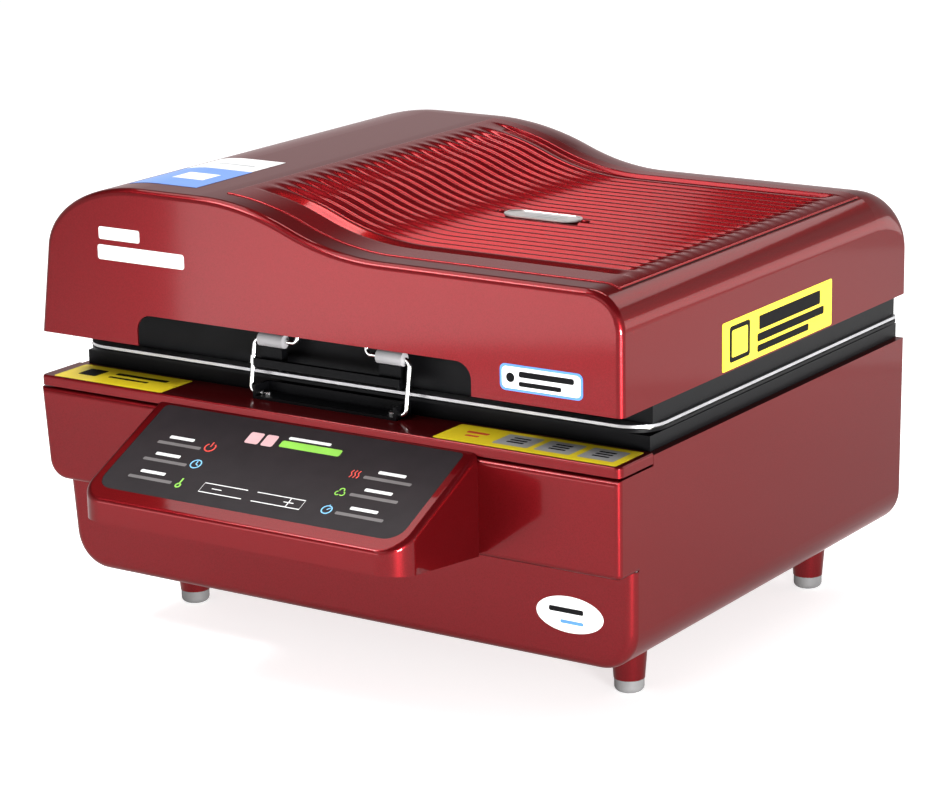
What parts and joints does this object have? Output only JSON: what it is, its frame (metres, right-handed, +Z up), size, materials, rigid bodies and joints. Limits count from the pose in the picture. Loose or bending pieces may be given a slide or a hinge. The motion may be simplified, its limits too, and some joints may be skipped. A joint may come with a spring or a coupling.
{
  "type": "vacuum sublimation press",
  "caption": "Benchtop vacuum sublimation press: ribbed wave-shaped lid, hinged membrane frame over a perforated vacuum table, wire latch bail, sloping front console and tapered feet.",
  "frame": {"origin": "centre of the whole footprint, console to rear hinges, at the bottom of the feet", "axes": "+X to the right of someone facing the console, +Y away from them towards the rear panel, +Z up"},
  "size_m": [0.6, 0.64, 0.4146],
  "materials": {
    "red_paint": "gloss metallic",
    "red_plastic": "gloss",
    "grille_paint": "gloss metallic",
    "charcoal_paint": "satin",
    "black_steel": "satin",
    "frame_steel": "brushed",
    "table_aluminium": "satin",
    "seal_rubber": "matte",
    "membrane_silicone": "satin",
    "bright_steel": "polished",
    "sleeve_grey": "matte",
    "overlay_film": "satin",
    "circuit_board": "satin",
    "badge_blank": "satin",
    "reflector_sheet": "polished",
    "heater_quartz": "frosted",
    "guard_wire": "bright",
    "blanket_fibre": "matte",
    "motor_housing": "satin",
    "fan_aluminium": "satin",
    "black_plastic": "matte",
    "rocker_plastic": "gloss",
    "pump_alloy": "cast",
    "foot_rubber": "matte",
    "hose_rubber": "satin",
    "fitting_brass": "machined"
  },
  "bodies": {
    "base": {"base_shell": "red_paint", "rear_panel": "red_paint", "front_fascia": "red_paint", "front_ledge": "red_paint", "control_housing": "red_plastic", "control_overlay": "overlay_film", "control_board": "circuit_board", "vacuum_tray": "charcoal_paint", "vacuum_table": "table_aluminium", "tray_seal": "seal_rubber", "hinge_pins": "bright_steel", "bail_bracket": "black_steel", "bracket_screws": "bright_steel", "cooling_fan_frame": "black_plastic", "mains_inlet": "black_plastic", "switch_bezel": "black_plastic", "vacuum_pump": "pump_alloy", "pump_motor": "motor_housing", "pump_mounts": "foot_rubber", "vacuum_hose": "hose_rubber", "tray_fitting": "fitting_brass", "power_board": "circuit_board", "heater_relay": "pump_alloy", "hinge_bracket_left": "black_steel", "hinge_bracket_right": "black_steel", "foot_front_left": "red_paint", "foot_pad_front_left": "foot_rubber", "foot_front_right": "red_paint", "foot_pad_front_right": "foot_rubber", "foot_back_left": "red_paint", "foot_pad_back_left": "foot_rubber", "foot_back_right": "red_paint", "foot_pad_back_right": "foot_rubber"},
    "membrane_frame": {"frame_lower_ring": "charcoal_paint", "frame_upper_ring": "frame_steel", "membrane": "membrane_silicone", "frame_screws": "bright_steel", "latch_bracket": "black_steel", "frame_arm_left": "black_steel", "frame_arm_right": "black_steel"},
    "lid": {"lid_shell": "red_paint", "grille_panel": "grille_paint", "grille_badge": "badge_blank", "oven_chamber": "charcoal_paint", "reflector": "reflector_sheet", "heater_rails": "guard_wire", "heater_tubes": "heater_quartz", "heater_guard": "guard_wire", "insulation_blanket": "blanket_fibre", "fan_motor": "motor_housing", "temperature_probe": "bright_steel", "lid_arm_left": "black_steel", "lid_arm_right": "black_steel"},
    "air_impeller": {"fan_impeller": "fan_aluminium"},
    "latch_bail": {"bail_wire": "bright_steel", "bail_collar": "bright_steel", "bail_sleeve_left": "sleeve_grey", "bail_sleeve_right": "sleeve_grey"},
    "cooling_fan": {"cooling_fan_rotor": "black_plastic"},
    "power_switch": {"switch_rocker": "rocker_plastic"}
  },
  "joints": [
    {"name": "membrane_frame_hinge", "type": "hinge", "parent": "base", "child": "membrane_frame", "pos_m": [0, 0.311, 0.262], "axis": [-1, 0, 0], "range_deg": [0, 50]},
    {"name": "lid_hinge", "type": "hinge", "parent": "membrane_frame", "child": "lid", "pos_m": [0, 0.311, 0.262], "axis": [-1, 0, 0], "range_deg": [0, 85]},
    {"name": "air_impeller_spin", "type": "hinge", "parent": "lid", "child": "air_impeller", "pos_m": [-0.19, 0.075, 0.326], "axis": [0, 0, 1], "continuous": true},
    {"name": "latch_bail_swing", "type": "hinge", "parent": "base", "child": "latch_bail", "pos_m": [-0.009, -0.171, 0.2405], "axis": [1, 0, 0], "range_deg": [0, 100]},
    {"name": "cooling_fan_spin", "type": "hinge", "parent": "base", "child": "cooling_fan", "pos_m": [-0.11, 0.284, 0.145], "axis": [0, 1, 0], "continuous": true},
    {"name": "power_switch_rock", "type": "hinge", "parent": "base", "child": "power_switch", "pos_m": [0.18, 0.297, 0.11], "axis": [-1, 0, 0], "range_deg": [0, 16]}
  ]
}
